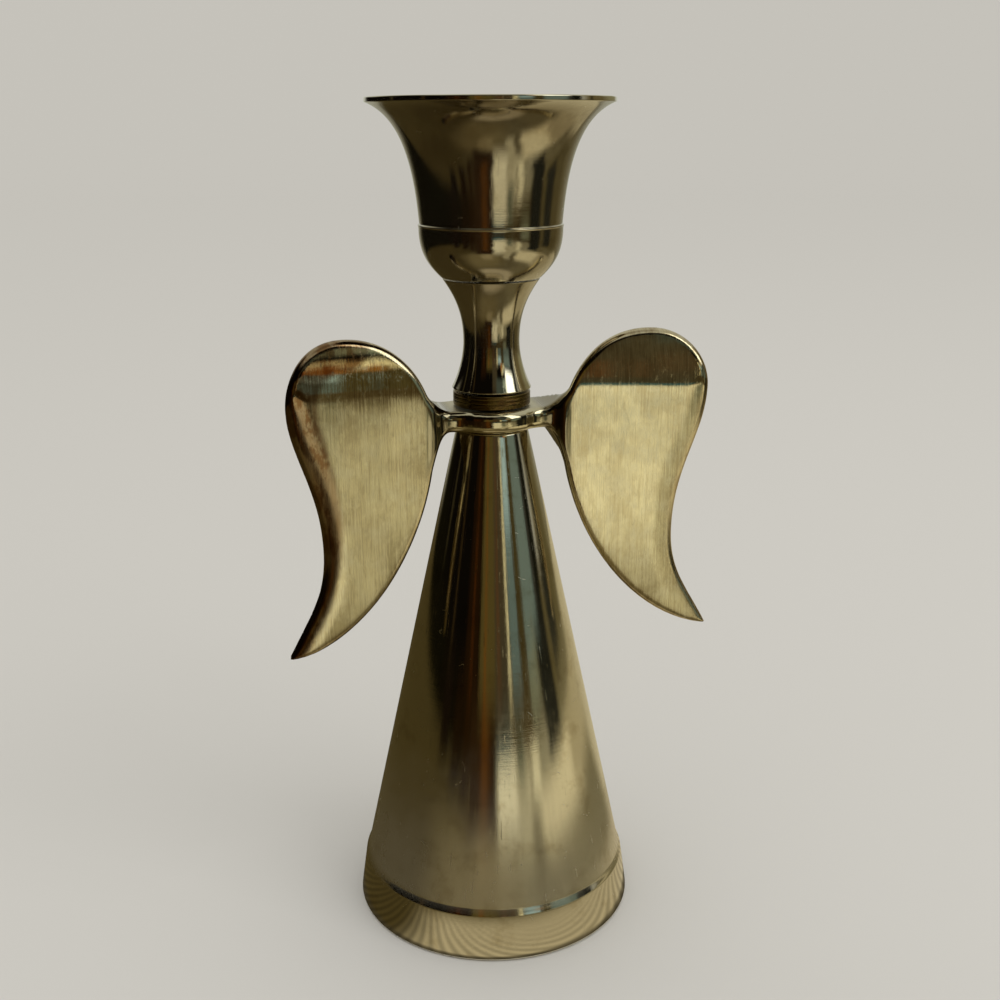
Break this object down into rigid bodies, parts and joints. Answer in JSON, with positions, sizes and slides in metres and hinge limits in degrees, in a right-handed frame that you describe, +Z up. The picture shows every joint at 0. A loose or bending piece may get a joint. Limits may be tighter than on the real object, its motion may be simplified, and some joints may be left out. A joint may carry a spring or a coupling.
{
  "type": "taper candle holder",
  "caption": "Winged-figure taper candle holder: hollow cone skirt, cast wing yoke, waisted stem and flared candle cup clamped on a threaded rod.",
  "frame": {"origin": "centre of the foot, on the surface that the holder stands on", "axes": "+Z up along the rod, the wings reach along +X and -X, and their front faces look along -Y"},
  "size_m": [0.082, 0.056, 0.16],
  "materials": {
    "skirt_plate": "worn mirror-polished silver plate on brass, with fine drawn scratches",
    "wing_plate": "hand-brushed silver plate on cast brass, hazy on the faces",
    "bare_brass": "turned brass with worn plate, fine turning lines",
    "stem_plate": "mirror-polished silver plate on turned brass",
    "cup_plate": "mirror-polished silver plate on turned brass, scratched under the rim",
    "rod_zinc": "zinc-plated threaded steel",
    "washer_zinc": "zinc-plated stamped steel",
    "nut_zinc": "zinc-plated steel"
  },
  "bodies": {
    "base": {"skirt": "skirt_plate", "tie_rod": "rod_zinc", "washer": "washer_zinc", "hex_nut": "nut_zinc"},
    "wings": {"wings": "wing_plate"},
    "stem": {"stem": "stem_plate", "spacer_collar": "bare_brass"},
    "cup": {"candle_cup": "cup_plate"}
  },
  "joints": [
    {"name": "wings_turn", "type": "hinge", "parent": "base", "child": "wings", "pos_m": [0, 0, 0.1021], "axis": [0, 0, 1], "continuous": true},
    {"name": "stem_turn", "type": "hinge", "parent": "base", "child": "stem", "pos_m": [0, 0, 0.1176], "axis": [0, 0, 1], "range_deg": [0, 2160]},
    {"name": "cup_lift", "type": "slide", "parent": "stem", "child": "cup", "axis": [0, 0, 1], "range_m": [0, 0.0048]}
  ],
  "couplings": [
    {"joint": "stem_turn", "follows": "cup_lift", "rad_per_m": 7854}
  ]
}
